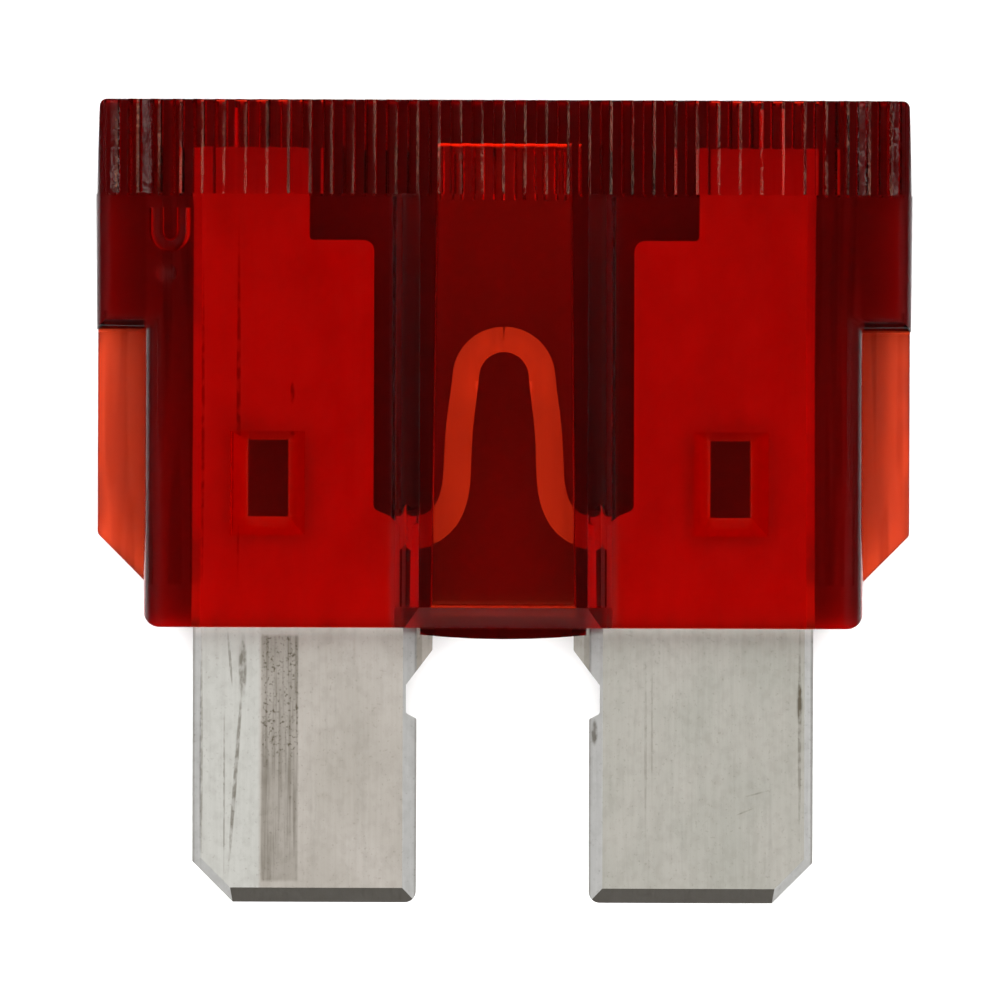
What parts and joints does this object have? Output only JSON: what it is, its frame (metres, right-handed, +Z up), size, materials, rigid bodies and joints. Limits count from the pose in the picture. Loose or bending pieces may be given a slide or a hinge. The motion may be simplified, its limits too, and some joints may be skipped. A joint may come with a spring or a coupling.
{
  "type": "automotive blade fuse",
  "caption": "Plug-in blade fuse: a ribbed translucent housing with a fuse link showing in its window box and flat blades below.",
  "frame": {"origin": "on the surface that the fuse lies on, below the middle of its outline", "axes": "+X across the width, +Y from the blade tips to the head, +Z up out of the front face"},
  "size_m": [0.019, 0.0188, 0.0051],
  "materials": {
    "housing_plastic": "translucent moulded plastic",
    "zinc": "rolled zinc strip, dull"
  },
  "bodies": {
    "root": {"housing": "housing_plastic", "fuse_element": "zinc"}
  },
  "joints": []
}
